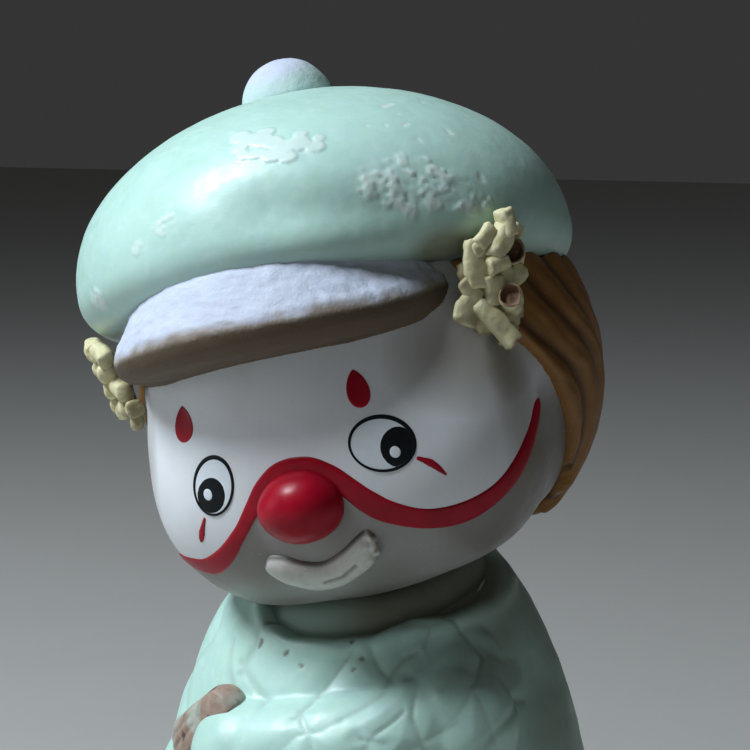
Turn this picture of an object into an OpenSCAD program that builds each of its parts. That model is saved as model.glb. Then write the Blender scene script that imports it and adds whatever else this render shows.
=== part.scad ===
// Hollow ceramic clown that stands in an aquarium and lets air bubbles out.
// The clown sits with folded arms and leans its head. Millimetres, +Z up, facing -Y.
// The origin is on the body's axis, in the plane that it stands on, at the mouth of the base opening.

/* [Body] */
// Largest radius of the bell-shaped body
body_r = 22.6; // [21:0.1:24]
// Height above the floor at which the body is widest
body_wide_z = 15; // [13:0.5:17]
// Height at which the body's dome would close
body_top_z = 57; // [56:0.5:58]
// Wall thickness of the slip-cast pieces
wall = 2.4; // [2:0.1:2.6]

/* [Head] */
// Half width of the head
head_side = 22.2; // [22:0.1:23]
// Height of the skull above the head's centre
head_top = 22; // [21:0.1:22.5]
// Depth of the skull below the head's centre
head_low = 20; // [19.5:0.1:20.5]
// Half width of the full cheeks
cheek_side = 19.8; // [19:0.1:20.5]
// Roundness of the muzzle from nose to chin
muzzle_r = 13.85; // [13.5:0.05:14.2]
// Sideways lean of the head, towards its own right
head_lean = 14.5; // [13:0.5:16]
// Forward nod of the head
head_nod = 5; // [3:0.5:7]

/* [Cap] */
// Radius of the cap's puffed crown
crown_r = 25; // [24.5:0.1:25.5]
// Height of the crown above its widest level
crown_h = 17.2; // [16.5:0.1:18]
// Backward tilt of the crown
crown_tilt = 12; // [10:0.5:14]
// Radius of the pom-pom
pom_r = 4.6; // [4:0.1:5]
// Reach of the visor's edge from the head's axis
visor_reach = 28.4; // [27.5:0.1:29]

/* [Air line] */
// Height of the air line above the floor
air_z = 17; // [16.5:0.1:18]
// Outer radius of the elbow's tube
tube_r = 2.5; // [2.4:0.05:2.6]
// Radius of the nipple that takes a 4 mm airline
nipple_r = 2.2; // [2.1:0.05:2.3]
// Length of the nipple
nipple_len = 9; // [8:0.5:10]
// Radius of the diffuser stone
stone_r = 6; // [5.5:0.1:6.2]
// Length of the diffuser stone
stone_len = 15; // [13:0.5:16]

/* [Base] */
// Radius of the opening in the base disc
base_bore_r = 9; // [8.5:0.1:9.5]
// Thickness of the base disc
base_disc_h = 3; // [2.5:0.1:3.5]

/* [Hidden] */

fit = 0.05;                          // gap where one cemented piece sits on another
run_fit = 0.03;                      // radial gap between the elbow and its grommet
head_at = [0.8, -3.2, 67.5];         // centre of the head
crown_at = [-0.9, -0.5, 12.6];            // centre of the crown's widest level, in the head's frame
crown_lip = 4;                       // how far the crown turns under its widest level
crown_mouth_r = 21;                  // radius of the crown's opening
neck_bore_r = 7.5;                   // air way from the body into the head
outlet_r = 1.1;                      // bubble outlet at each temple
outlet_az = 66;                      // its place round the head, from the face
outlet_z = 3.6;                      // its height in the head's frame
disc_r = 17.2;                       // radius of the base disc
torso_foot_r = 20;                   // radius of the body's foot rim
face_turn = 5.5;                     // how far the face turns from the cap's front
visor_r = 17.5;                      // radius of the visor's edge about its own axis
mint = [0.66, 0.83, 0.76];
porcelain = [0.9, 0.9, 0.92];
clay = [0.68, 0.56, 0.48];
lilac = [0.83, 0.83, 0.9];
straw = [0.87, 0.84, 0.6];
caramel = [0.42, 0.27, 0.12];
enamel_red = [0.68, 0.04, 0.09];

// ---------- frames ----------

module in_head() translate(head_at) rotate([head_nod, -head_lean, 0]) children();
module in_crown() in_head() translate(crown_at) rotate([-crown_tilt, 0, 0]) children();

// ---------- round forms ----------

// Solid of revolution with radius r, rising up above and reaching down below its widest level.
// A power above 2 makes its side fuller.
module egg(r, up, down, power = 2) rotate_extrude($fn = 64) polygon([[0, -down],
    each [for (a = [-84:7:84]) [r * pow(cos(a), 2 / power), (a < 0 ? -down : up) * pow(abs(sin(a)), 2 / power)]],
    [0, up]]);

// Straight limb between two points, with a ball at each end.
module limb(a, b, ra, rb) {
    d = b - a;
    translate(a) sphere(r = ra, $fn = 48);
    translate(b) sphere(r = rb, $fn = 48);
    translate(a) rotate([0, acos(d[2] / norm(d)), atan2(d[1], d[0])])
        cylinder(r1 = ra * 0.98, r2 = rb * 0.98, h = norm(d), $fn = 48);
}

// Part of a ring about the body's axis, from one azimuth to another, counted from the front.
module band(z, ring_r, r, from, to) translate([0, 0, z]) rotate([0, 0, from - 90])
    rotate_extrude(angle = to - from, $fn = 96) translate([ring_r, 0]) circle(r = r, $fn = 48);

// Point at azimuth az from the front, distance r from the body's axis, and height z.
function round_body(az, r, z) = [r * sin(az), -r * cos(az), z];

// ---------- head ----------

module in_face() in_head() rotate([0, 0, face_turn]) children();
module cranium(off = 0) egg(head_side + off, head_top + off, head_low + off);
module muzzle(off = 0) rotate([0, 0, face_turn]) translate([0, -8.6, -6.4]) rotate([0, 90, 0])
    egg(muzzle_r + off, cheek_side + off, cheek_side + off, 2.3);

module head_form(off = 0) {
    cranium(off);
    muzzle(off);
}

module crown_form(off = 0) rotate_extrude($fn = 64) polygon([[0, -crown_lip],
    each [for (a = [-80:20:-20]) [crown_mouth_r + (crown_r - crown_mouth_r) * cos(a) + off, crown_lip * sin(a)]],
    each [for (a = [0:7:84]) [(crown_r + off) * cos(a), (crown_h + off) * sin(a)]], [0, crown_h + off]]);

// Side outline of the hair, as y and z in the head's frame.
hair_side = [[-9.5, 12], [-8.6, 3.5], [-4.6, -1.5], [-1.2, -7], [1.5, -12], [8, -17], [28, -19], [28, 12]];

module hair_form(off = 0) intersection() {
    cranium(1.3 + off);
    rotate([90, 0, 90]) translate([0, 0, -30]) linear_extrude(60) polygon(hair_side);
}

// Cone about an axis ahead of the head's, so that its rim runs out to nothing at both temples.
module visor_form() translate([0, visor_r - visor_reach, 0]) rotate_extrude($fn = 64)
    polygon([[0, 4.8], [13, 5.2], [16.3, 6.1], [17.2, 7], [visor_r, 8.1], [17.1, 9.1], [14, 13], [8, 19.6], [0, 19.6]]);

module head() color(porcelain) difference() {
    in_head() head_form();
    in_head() cranium(-wall);
    in_head() muzzle(-wall);
    translate([0, 0, 38]) cylinder(r = neck_bore_r, h = 18, $fn = 48);
    for (side = [-1, 1]) in_head() rotate([0, 0, side * outlet_az])
        translate([0, -14, outlet_z]) rotate([90, 0, 0]) cylinder(r = outlet_r, h = 16, $fn = 32);
}

module hair() color(caramel) difference() {
    in_head() hair_form();
    in_head() head_form(fit);
    in_crown() crown_form(fit);
    torso_form(fit);
}

module nose() color(enamel_red) difference() {
    in_face() translate([0.6, -22.4, -8.2]) rotate([0, 90, 0]) egg(3.5, 4.2, 4.2);
    in_head() head_form(fit);
}

// One lip: an arc of a ring that leans back with the chin, with a ball at each end.
module lip(drop, ring_r, r, half) translate([0, -20.6, -13.2 - drop]) rotate([22, 0, 0])
    translate([0, 0, ring_r * cos(half)]) rotate([90, 0, 0]) {
    rotate([0, 0, -90 - half]) rotate_extrude(angle = 2 * half, $fn = 96) translate([ring_r, 0]) circle(r = r, $fn = 32);
    for (side = [-1, 1]) rotate([0, 0, -90 + side * half]) translate([ring_r, 0, 0]) sphere(r = r * 1.06, $fn = 32);
}

module lips() color(porcelain) difference() {
    in_face() translate([0.3, 0.2, 0.2]) union() {
        lip(-0.6, 8.2, 1.05, 39);
        lip(0.7, 8.2, 1.25, 34);
    }
    in_head() head_form(fit);
}

module cap_crown() color(mint) difference() {
    in_crown() crown_form();
    in_crown() translate([0, 0, -0.6]) crown_form(-wall);
    in_head() head_form(fit);
}

module cap_visor() color(lilac) difference() {
    in_head() visor_form();
    in_head() head_form(fit);
    in_crown() crown_form(fit);
}

module cap_pompom() color(lilac) difference() {
    in_crown() rotate([0, -4.5, 0]) translate([0, 0, crown_h - 0.2]) sphere(r = pom_r, $fn = 64);
    in_crown() crown_form(fit);
}

// Short lengths of squeezed clay, stuck on a bed at each temple. Each has its azimuth, height, reach,
// turn from upright, outward tilt, length and radius.
bits_left = [[71, 11.6, 25.6, -10, 0, 3.2, 0.95], [68, 10.4, 25, 50, 10, 4.4, 0.9], [65.5, 9.2, 24.4, -25, 0, 3.4, 0.9],
             [71, 8.6, 24.6, 80, 20, 2.4, 0.8], [75, 9.6, 24.8, 60, 20, 2.8, 0.8], [65, 6.9, 24.2, 10, 0, 3.0, 0.9],
             [69, 5.2, 24.6, -50, 55, 3.6, 1.1], [59, 5.2, 23.6, 40, 0, 3.0, 0.8], [63.5, 3.6, 24.2, -28, 8, 5.4, 0.9],
             [67, 1.8, 23.6, 30, 0, 2.4, 0.7]];
bits_right = [[57, 10.4, 25.6, 85, 0, 3.2, 0.8], [52, 9.4, 24.8, 70, 10, 3.0, 0.8], [61, 8.4, 25.2, 95, 15, 3.2, 0.8],
              [54, 7.8, 24.8, 80, 0, 3.4, 0.85], [64, 7, 24.6, 60, 20, 2.6, 0.75], [56, 6.2, 24.6, 100, 0, 3.2, 0.8],
              [51, 6, 23.8, 75, 10, 2.8, 0.75], [60, 4.8, 24.4, 85, 0, 3.2, 0.85], [54, 4, 23.8, 95, 10, 3.0, 0.8]];

module curls(side, bits, bed) difference() {
    union() {
        for (b = bits) in_head() rotate([0, 0, side * b[0]]) translate([0, -b[2], b[1]])
            rotate([b[4], side * b[3], 0]) translate([0, 0, -b[5] / 2]) cylinder(r = b[6], h = b[5], $fn = 24);
        in_head() rotate([0, 0, side * bed[0]]) translate([0, -20, bed[1]])
            rotate([90, 0, 0]) cylinder(r = bed[2], h = bed[3] - 20, $fn = 48);
    }
    in_head() cranium(fit);
    in_head() hair_form(fit);
    in_crown() crown_form(fit);
    in_head() visor_form();
}

module curls_left() color(straw) curls(1, bits_left, [67, 6.8, 3, 24.2]);
module curls_right() color(straw) curls(-1, bits_right, [57, 7, 3.2, 24.4]);

// ---------- body ----------

function body_radius(z) = z >= body_wide_z
    ? body_r * sqrt(max(1 - pow((z - body_wide_z) / (body_top_z - body_wide_z), 2), 0))
    : torso_foot_r + (body_r - torso_foot_r) * sin(90 * z / body_wide_z);

module torso_form(grow = 0) rotate_extrude($fn = 96)
    polygon([[0, 0], each [for (z = [0, 4, 8, 11.5, 15, each [18:3:54]]) [body_radius(z) + grow, z]],
             [5, 56.4 + grow], [0, body_top_z + grow]]);

module torso() color(mint) difference() {
    torso_form();
    rotate_extrude($fn = 96) polygon([[0, -1], [disc_r + fit, -1], [disc_r + fit, base_disc_h + 0.1],
        each [for (z = [8:4:48]) [body_radius(z) - wall, z]], [5, 53.4], [0, 54]]);
    translate([0, 0, 40]) cylinder(r = neck_bore_r, h = 30, $fn = 48);
    translate([0, 10, air_z]) rotate([-90, 0, 0]) cylinder(r = 3.65, h = 20, $fn = 48);
    in_head() head_form(fit);
}

// Sleeve: an upper arm that comes down to the elbow, and a forearm that runs round the body.
module sleeve_form(shoulder, z, ring_r, r, elbow_az, wrist_az, off = 0) {
    limb(shoulder, round_body(elbow_az, ring_r, z), r * 0.86 + off, r * 1.17 + off);
    band(z, ring_r, r + off, min(elbow_az, wrist_az), max(elbow_az, wrist_az));
    translate(round_body(wrist_az, ring_r, z)) sphere(r = r * 1.1 + off, $fn = 48);
}

// The left sleeve slopes like a sash, with its elbow higher than its cuff.
module sleeve_left_form(off = 0) translate([0, 0, 34]) rotate(a = 10, v = round_body(21, 1, 0))
    sleeve_form(round_body(68, 14.4, 5), 0, 17.9, 5.3, 55, -14, off);
module sleeve_right_form(off = 0) sleeve_form(round_body(-78, 12.8, 38), 20.5, 20.4, 4.8, -72, 26, off);

module sleeve_left() color(mint) difference() {
    sleeve_left_form();
    torso_form(fit);
    in_head() head_form(fit);
}

module sleeve_right() color(mint) difference() {
    sleeve_right_form();
    torso_form(fit);
}

module hand_left() color(clay) difference() {
    limb(round_body(-18, 19.8, 36.6), round_body(-38, 20.2, 32.6), 2.5, 2.2);
    torso_form(fit);
    sleeve_left_form(fit);
}

module hand_right() color(clay) difference() {
    limb(round_body(32, 22.2, 21.6), round_body(50, 21.8, 22.8), 2.8, 2.4);
    torso_form(fit);
    sleeve_right_form(fit);
}

module above_floor() intersection() {
    children();
    translate([-60, -60, 0]) cube([120, 100, 60]);
}

module shoe_form(side, off = 0) translate([side * 11.4, -37.6, 10.2]) rotate([-12, 0, 0])
    egg(6.4 + off, 11.2 + off, 10.6 + off);

module leg(side) color(mint) difference() {
    translate([side * 9.9, -23, 7]) rotate([90, 0, side * 5]) egg(6.9, 15, 15, 2.6);
    torso_form(fit);
    shoe_form(side, fit);
}

module leg_left() leg(1);
module leg_right() leg(-1);
module shoe_left() color(caramel) above_floor() shoe_form(1);
module shoe_right() color(caramel) above_floor() shoe_form(-1);

// ---------- base ----------

module base_disc() color(clay) difference() {
    cylinder(r = disc_r, h = base_disc_h, $fn = 96);
    translate([0, 0, -1]) cylinder(r = base_bore_r, h = base_disc_h + 2, $fn = 96);
}

// ---------- air line, which lies along Y ----------

module along_y(from, to, r) translate([0, from, air_z]) rotate([-90, 0, 0]) cylinder(r = r, h = to - from, $fn = 48);

flange_out = [22.75, 24];            // the grommet's outer flange
flange_in = [18.2, 19.4];            // its inner flange
elbow_y = 28.6;                      // where the elbow turns upwards
elbow_in = 12.5;                     // inner end of the elbow's tube
bore_r = 1.3;                        // air way through the fittings

module grommet() color([0.12, 0.12, 0.12]) difference() {
    union() {
        along_y(flange_in[0], flange_out[1], 3.5);
        along_y(flange_in[0], flange_in[1], 5);
        along_y(flange_out[0], flange_out[1], 5);
    }
    along_y(flange_in[0] - 1, flange_out[1] + 1, tube_r + run_fit);
}

module air_elbow() color([0.86, 0.88, 0.9]) difference() {
    union() {
        along_y(elbow_in, elbow_y, tube_r);
        along_y(flange_out[1] + 0.1, flange_out[1] + 1.3, 3.6);
        translate([0, elbow_y, air_z]) sphere(r = tube_r + 0.4, $fn = 48);
        translate([0, elbow_y, air_z]) cylinder(r = tube_r + 0.4, h = 5, $fn = 48);
        translate([0, elbow_y, air_z + 4.9]) cylinder(r = nipple_r, h = nipple_len + 0.1, $fn = 48);
    }
    along_y(elbow_in - 1, elbow_y, bore_r);
    translate([0, elbow_y, air_z]) cylinder(r = bore_r, h = 40, $fn = 32);
}

hose_y = [5.6, 17.4];
module inner_hose() color([0.9, 0.92, 0.93]) difference() {
    along_y(hose_y[0], hose_y[1], 3.7);
    along_y(hose_y[0] - 1, hose_y[1] + 1, tube_r + 0.01);
}

stone_y = 4;                         // rear face of the stone
module stone_nipple() color([0.2, 0.45, 0.7]) difference() {
    union() {
        along_y(stone_y - 4, 11.5, tube_r);
        along_y(stone_y, stone_y + 1.2, 3.7);
    }
    along_y(stone_y - 5, 13, bore_r);
}

module diffuser_stone() color([0.55, 0.6, 0.66]) difference() {
    along_y(stone_y - stone_len, stone_y, stone_r);
    along_y(stone_y - 4 - fit, stone_y + 1, tube_r + fit);
}

torso();
base_disc();
head();
hair();
nose();
lips();
cap_crown();
cap_visor();
cap_pompom();
curls_left();
curls_right();
sleeve_left();
sleeve_right();
hand_left();
hand_right();
leg_left();
leg_right();
shoe_left();
shoe_right();
grommet();
air_elbow();
inner_hose();
stone_nipple();
diffuser_stone();
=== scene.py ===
import math

import bmesh
import bpy
import numpy as np
from mathutils import Matrix, Vector


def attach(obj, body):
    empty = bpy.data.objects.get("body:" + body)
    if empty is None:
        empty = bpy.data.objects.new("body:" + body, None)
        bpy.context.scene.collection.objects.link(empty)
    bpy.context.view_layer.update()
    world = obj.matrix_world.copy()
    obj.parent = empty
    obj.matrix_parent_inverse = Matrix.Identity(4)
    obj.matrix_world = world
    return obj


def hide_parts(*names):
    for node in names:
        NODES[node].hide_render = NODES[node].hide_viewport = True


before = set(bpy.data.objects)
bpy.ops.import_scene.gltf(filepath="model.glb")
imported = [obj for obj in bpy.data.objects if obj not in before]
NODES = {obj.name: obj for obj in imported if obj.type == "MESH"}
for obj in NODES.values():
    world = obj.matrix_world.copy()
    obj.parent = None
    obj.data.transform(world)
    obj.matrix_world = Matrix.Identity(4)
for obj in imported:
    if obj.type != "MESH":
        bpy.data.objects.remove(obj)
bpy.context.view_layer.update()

# Lengths are in millimetres and angles in degrees until a mesh is made. A place on a round form is an azimuth
# with a latitude or a height. The azimuth is 0 at the front and grows towards the figure's left.
MM = 0.001

# ---------- sizes, named as in the CAD source ----------

BODY_R = 22.6           # largest radius of the body
BODY_WIDE_Z = 15.0      # its height
BODY_TOP_Z = 57.0       # where the body's dome would close
HEAD_SIDE = 22.2        # half width of the head
HEAD_TOP = 22.0         # height of the skull above its centre
HEAD_LOW = 20.0         # depth of the skull below its centre
CHEEK_SIDE = 19.8       # half width of the full cheeks
MUZZLE_R = 13.85        # roundness of the muzzle from nose to chin
FACE_TURN = 5.5         # how far the face turns from the cap's front
CROWN_R = 25.0          # radius of the cap's puffed crown
CROWN_H = 17.2          # height of the crown above its widest level
CROWN_LIP = 4.0         # how far the crown turns under that level
CROWN_MOUTH_R = 21.0    # radius of the crown's opening

# Radii that turn degrees into millimetres on the head and round the body.
HEAD_NOMINAL = 22.0
BODY_NOMINAL = 20.0


def rx(t):
    c, s = math.cos(math.radians(t)), math.sin(math.radians(t))
    return np.array([[1, 0, 0], [0, c, -s], [0, s, c]])


def ry(t):
    c, s = math.cos(math.radians(t)), math.sin(math.radians(t))
    return np.array([[c, 0, s], [0, 1, 0], [-s, 0, c]])


def rz(t):
    c, s = math.cos(math.radians(t)), math.sin(math.radians(t))
    return np.array([[c, -s, 0], [s, c, 0], [0, 0, 1]])


HEAD_AT = np.array([0.8, -3.2, 67.5])
HEAD_TILT = ry(-14.5) @ rx(5)
CROWN_AT = HEAD_AT + HEAD_TILT @ np.array([-0.9, -0.5, 12.6])
CROWN_TILT = HEAD_TILT @ rx(-12)


def from_head(p):
    """Points from the head's frame to the whole figure's."""
    return p @ HEAD_TILT.T + HEAD_AT


def to_head(p):
    """Points from the whole figure's frame to the head's."""
    return (p - HEAD_AT) @ HEAD_TILT


def from_crown(p):
    return p @ CROWN_TILT.T + CROWN_AT


def to_crown(p):
    return (p - CROWN_AT) @ CROWN_TILT


def direction(az, lat):
    az, lat = np.radians(az), np.radians(lat)
    return np.stack([np.cos(lat) * np.sin(az), -np.cos(lat) * np.cos(az), np.sin(lat)], -1)


def azimuth(p):
    return np.degrees(np.arctan2(p[..., 0], -p[..., 1]))


def angles(p):
    """Azimuth and latitude of points round their frame's centre."""
    return azimuth(p), np.degrees(np.arcsin(p[..., 2] / np.linalg.norm(p, axis=-1)))


# ---------- noise and masks ----------


def clamp(x):
    return np.clip(x, 0, 1)


def step(lo, hi, x):
    """Smooth step from 0 at lo to 1 at hi. Its lo may be the greater one."""
    t = clamp((x - lo) / (hi - lo))
    return t * t * (3 - 2 * t)


def ridge(x, width):
    """1 where x is 0, falling off smoothly over a width."""
    return np.exp(-((x / width) ** 2))


def lattice(i, seed):
    """Scattered values from -1 to 1 at whole-numbered points, the same for a seed."""
    h = (i[..., 0] * 374761393 + i[..., 1] * 668265263 + i[..., 2] * 2147483647 + seed * 974711) & 0xFFFFFFFF
    h = ((h ^ (h >> 13)) * 1274126177) & 0xFFFFFFFF
    return ((h ^ (h >> 16)) & 0xFFFF) / 32767.5 - 1


def noise(p, size, seed=0):
    """Smooth value noise from -1 to 1 with features of a size."""
    q = p / size
    i = np.floor(q).astype(np.int64)
    f = q - i
    f = f * f * (3 - 2 * f)
    total = 0
    for dx in (0, 1):
        for dy in (0, 1):
            for dz in (0, 1):
                w = (f[..., 0] if dx else 1 - f[..., 0]) * (f[..., 1] if dy else 1 - f[..., 1])
                w = w * (f[..., 2] if dz else 1 - f[..., 2])
                total = total + w * lattice(i + np.array([dx, dy, dz]), seed)
    return total


def rough(p, size, octaves, seed):
    """Noise of a size with finer noise on it."""
    return sum(noise(p + 17.3 * k, size / 2**k, seed + k) / 2**k for k in range(octaves))


def spot(az, lat, at, size, radius):
    """1 at a place on a round form and 0 beyond its size along and across."""
    ds = np.radians((az - at[0] + 180) % 360 - 180) * radius * np.cos(np.radians(lat))
    dt = np.radians(lat - at[1]) * radius
    return clamp(1 - (ds / size[0]) ** 2 - (dt / size[1]) ** 2)


def near(s, t, path):
    """Distance from places (s, t) to a path of such places."""
    best = np.full(s.shape, 1e9)
    for (a, b), (c, d) in zip(path[:-1], path[1:]):
        k = clamp(((s - a) * (c - a) + (t - b) * (d - b)) / ((c - a) ** 2 + (d - b) ** 2))
        best = np.minimum(best, np.hypot(s - a - k * (c - a), t - b - k * (d - b)))
    return best


# ---------- meshes ----------


def to_mesh(verts, faces):
    mesh = bpy.data.meshes.new("piece")
    mesh.from_pydata((np.asarray(verts) * MM).tolist(), [], [list(map(int, f)) for f in faces])
    mesh.validate()
    mesh.polygons.foreach_set("use_smooth", [True] * len(mesh.polygons))
    return mesh


def place(name, mesh, mat, nodes=(), body="figure"):
    """Makes the mesh a piece that rides on a body and stands for CAD nodes."""
    mesh.name = name
    obj = bpy.data.objects.new(name, mesh)
    bpy.context.scene.collection.objects.link(obj)
    mesh.materials.clear()
    mesh.materials.append(mat)
    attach(obj, body)
    if nodes:
        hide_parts(*nodes)


def coords(mesh):
    v = np.empty(len(mesh.vertices) * 3)
    mesh.vertices.foreach_get("co", v)
    return v.reshape(-1, 3) / MM


def normals(mesh):
    n = np.empty(len(mesh.vertices) * 3)
    mesh.vertices.foreach_get("normal", n)
    return n.reshape(-1, 3)


def shift(mesh, v, height, more=0.0):
    """Moves points v along the mesh's normals by a height, and by more, and gives them to the mesh."""
    v = v + normals(mesh) * height[:, None] + more
    mesh.vertices.foreach_set("co", (v * MM).ravel())
    mesh.update()
    return v


def paint(mesh, **masks):
    """Stores a mask from 0 to 1 for each name, which the materials read."""
    for name, value in masks.items():
        values = np.broadcast_to(value, len(mesh.vertices)).astype(np.float32)
        mesh.attributes.new(name, "FLOAT", "POINT").data.foreach_set("value", values)


def ball(detail):
    """Directions spread evenly over a sphere, and the faces between them."""
    bm = bmesh.new()
    bmesh.ops.create_icosphere(bm, subdivisions=detail, radius=1)
    v = np.array([p.co[:] for p in bm.verts])
    f = [[p.index for p in face.verts] for face in bm.faces]
    bm.free()
    return v / np.linalg.norm(v, axis=1)[:, None], f


def last(holds, low, high):
    """The value between low and high up to which something holds, for each item of a row."""
    for _ in range(26):
        mid = (low + high) / 2
        yes = holds(mid)
        low, high = np.where(yes, mid, low), np.where(yes, high, mid)
    return (low + high) / 2


def reach(field, d):
    """Distance from the centre to a form's surface along each direction."""
    nearest, farthest = np.full(d.shape[:-1], 2.0), np.full(d.shape[:-1], 45.0)
    return last(lambda r: field(d * r[..., None]) < 0, nearest, farthest)


def tube_faces(rings, around, closed=False):
    """Faces between rings of vertices. In a closed tube the last ring joins the first."""
    i, j = np.meshgrid(np.arange(rings if closed else rings - 1), np.arange(around), indexing="ij")
    after, beside = (i + 1) % rings, (j + 1) % around
    corners = [i * around + j, i * around + beside, after * around + beside, after * around + j]
    return np.stack(corners, -1).reshape(-1, 4)


def remeshed(nodes, voxel, rounds, swell=0.0, swollen=None):
    """Closed fine mesh of CAD nodes, softened as fired clay is. All of them, or only the swollen ones, grow by
    swell and so overlap their neighbours."""
    bm = bmesh.new()
    for n in nodes:
        part = bmesh.new()
        part.from_mesh(NODES[n].data)
        bmesh.ops.remove_doubles(part, verts=part.verts, dist=1e-6)
        part.normal_update()
        for v in part.verts:
            v.co = v.co / MM + v.normal * (swell if swollen is None or n in swollen else 0)
        temp = bpy.data.meshes.new("part")
        part.to_mesh(temp)
        part.free()
        bm.from_mesh(temp)
        bpy.data.meshes.remove(temp)
    mesh = bpy.data.meshes.new("work")
    bm.to_mesh(mesh)
    bm.free()
    obj = bpy.data.objects.new("work", mesh)
    bpy.context.scene.collection.objects.link(obj)
    voxels = obj.modifiers.new("voxels", "REMESH")
    voxels.mode, voxels.voxel_size, voxels.use_smooth_shade = "VOXEL", voxel, True
    soften = obj.modifiers.new("soften", "SMOOTH")
    soften.factor, soften.iterations = 0.5, rounds
    bpy.context.view_layer.update()
    fine = bpy.data.meshes.new_from_object(obj.evaluated_get(bpy.context.evaluated_depsgraph_get()))
    bpy.data.objects.remove(obj)
    bpy.data.meshes.remove(mesh)
    fine.transform(Matrix.Scale(MM, 4))
    fine.attributes.active_color_index = -1
    return fine


# ---------- materials ----------

# Sockets of the Mix node when it mixes colours, and how far a seed moves a noise, in metres.
COLOUR_A, COLOUR_B, COLOUR_OUT = 6, 7, 2
SEED_MOVE = (0.131, 0.077, 0.053)


def material(name, base, roughness, layers, bumps=(), rough_noise=(2.0, 0.08), **sockets):
    """A procedural finish. A layer is (source, low, high, colour, amount). Its source is a mask's name or the
    size of a noise, and it runs from nothing at low to its full amount at high. A bump is (size, strength,
    height)."""
    mat = bpy.data.materials.new(name)
    mat.use_nodes = True
    tree = mat.node_tree
    tree.nodes.clear()
    new, link = tree.nodes.new, tree.links.new
    out, shader = new("ShaderNodeOutputMaterial"), new("ShaderNodeBsdfPrincipled")
    link(shader.outputs[0], out.inputs[0])
    own_place = new("ShaderNodeTexCoord").outputs["Object"]

    def texture(size, seed):
        moved = new("ShaderNodeMapping")
        moved.inputs["Location"].default_value = [seed * m for m in SEED_MOVE]
        link(own_place, moved.inputs["Vector"])
        tex = new("ShaderNodeTexNoise")
        tex.inputs["Scale"].default_value = 1 / (size * MM)
        tex.inputs["Detail"].default_value = 4.0
        tex.inputs["Roughness"].default_value = 0.6
        link(moved.outputs[0], tex.inputs["Vector"])
        return tex.outputs[0]

    def ranged(source, low, high, start, to):
        span = new("ShaderNodeMapRange")
        for socket, value in zip(("From Min", "From Max", "To Min", "To Max"), (low, high, start, to)):
            span.inputs[socket].default_value = value
        link(source, span.inputs["Value"])
        return span.outputs[0]

    def source_of(source, seed):
        if isinstance(source, str):
            mask = new("ShaderNodeAttribute")
            mask.attribute_name = source
            return mask.outputs["Fac"]
        return texture(source, seed)

    colour = None
    for k, (source, low, high, tint, amount) in enumerate(layers):
        mix = new("ShaderNodeMix")
        mix.data_type = "RGBA"
        link(ranged(source_of(source, k + 1), low, high, 0.0, amount), mix.inputs["Factor"])
        if colour is None:
            mix.inputs[COLOUR_A].default_value = (*base, 1)
        else:
            link(colour, mix.inputs[COLOUR_A])
        mix.inputs[COLOUR_B].default_value = (*tint, 1)
        colour = mix.outputs[COLOUR_OUT]
    link(colour, shader.inputs["Base Color"])

    size, spread = rough_noise
    uneven = ranged(texture(size, 9), 0.3, 0.7, roughness - spread, roughness + spread)
    link(uneven, shader.inputs["Roughness"])

    normal = None
    for k, (size, strength, height) in enumerate(bumps):
        bump = new("ShaderNodeBump")
        bump.inputs["Strength"].default_value = strength
        bump.inputs["Distance"].default_value = height * MM
        link(texture(size, 20 + k), bump.inputs["Height"])
        if normal is not None:
            link(normal, bump.inputs["Normal"])
        normal = bump.outputs[0]
    if normal is not None:
        link(normal, shader.inputs["Normal"])
    for key, value in sockets.items():
        shader.inputs[key.replace("_", " ")].default_value = value
    return mat


SKIN = dict(Subsurface_Weight=0.12, Subsurface_Radius=(1.0, 0.8, 0.7), Subsurface_Scale=1.2 * MM)
# White paint: below the face's line it is greyer paint darkened further as painted shade. Glue stains beside
# the
# curls share a layer with painted shade on the left temple and the jaw.
white = material(
    "white_bisque", (0.80, 0.82, 0.85), roughness=0.40,
    layers=[(5.0, 0.45, 0.75, (0.70, 0.71, 0.72), 0.35),
            ("lower", 0.0, 1.0, (0.165, 0.143, 0.117), 0.92),
            ("stain", 0.0, 1.0, (0.23, 0.18, 0.10), 0.8),
            (0.5, 0.62, 0.72, (0.60, 0.56, 0.50), 0.18)],
    bumps=[(0.35, 0.12, 0.05), (2.5, 0.15, 0.12)], **SKIN)
# Mint paint: its dark brown layer is painted shade under the chin, under the crown's lip, in the seams and
# folds and
# on the side away from the light, together with glue stains by the curls, stains at the elbow and darker feet.
mint = material(
    "mint_paint", (0.53, 0.78, 0.69), roughness=0.42, rough_noise=(1.2, 0.10),
    layers=[(7.0, 0.4, 0.7, (0.46, 0.70, 0.61), 0.8),
            (3.2, 0.5, 0.75, (0.50, 0.72, 0.72), 0.6),
            (1.6, 0.55, 0.8, (0.66, 0.86, 0.79), 0.6),
            ("worn", 0.0, 1.0, (0.72, 0.84, 0.80), 0.85),
            ("stain", 0.0, 1.0, (0.17, 0.16, 0.095), 0.86),
            ("bare", 0.0, 1.0, (0.20, 0.19, 0.15), 0.85),
            (0.3, 0.70, 0.76, (0.74, 0.88, 0.83), 0.5)],
    bumps=[(0.25, 0.18, 0.05), (1.1, 0.2, 0.10)], Coat_Weight=0.12, Coat_Roughness=0.35)
# Lilac paint: its two dark layers are painted shade on the visor's rim and underside.
lilac = material(
    "lilac_paint", (0.60, 0.645, 0.77), roughness=0.62,
    layers=[(2.2, 0.4, 0.75, (0.49, 0.54, 0.67), 0.6),
            ("mint", 0.0, 1.0, (0.55, 0.76, 0.68), 0.75),
            (0.35, 0.62, 0.70, (0.84, 0.86, 0.93), 0.35),
            ("stain", 0.0, 0.45, (0.30, 0.25, 0.205), 0.92),
            ("stain", 0.4, 1.0, (0.118, 0.082, 0.051), 0.97)],
    bumps=[(0.28, 0.55, 0.12), (0.9, 0.3, 0.12)], Specular_IOR_Level=0.25)
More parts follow.
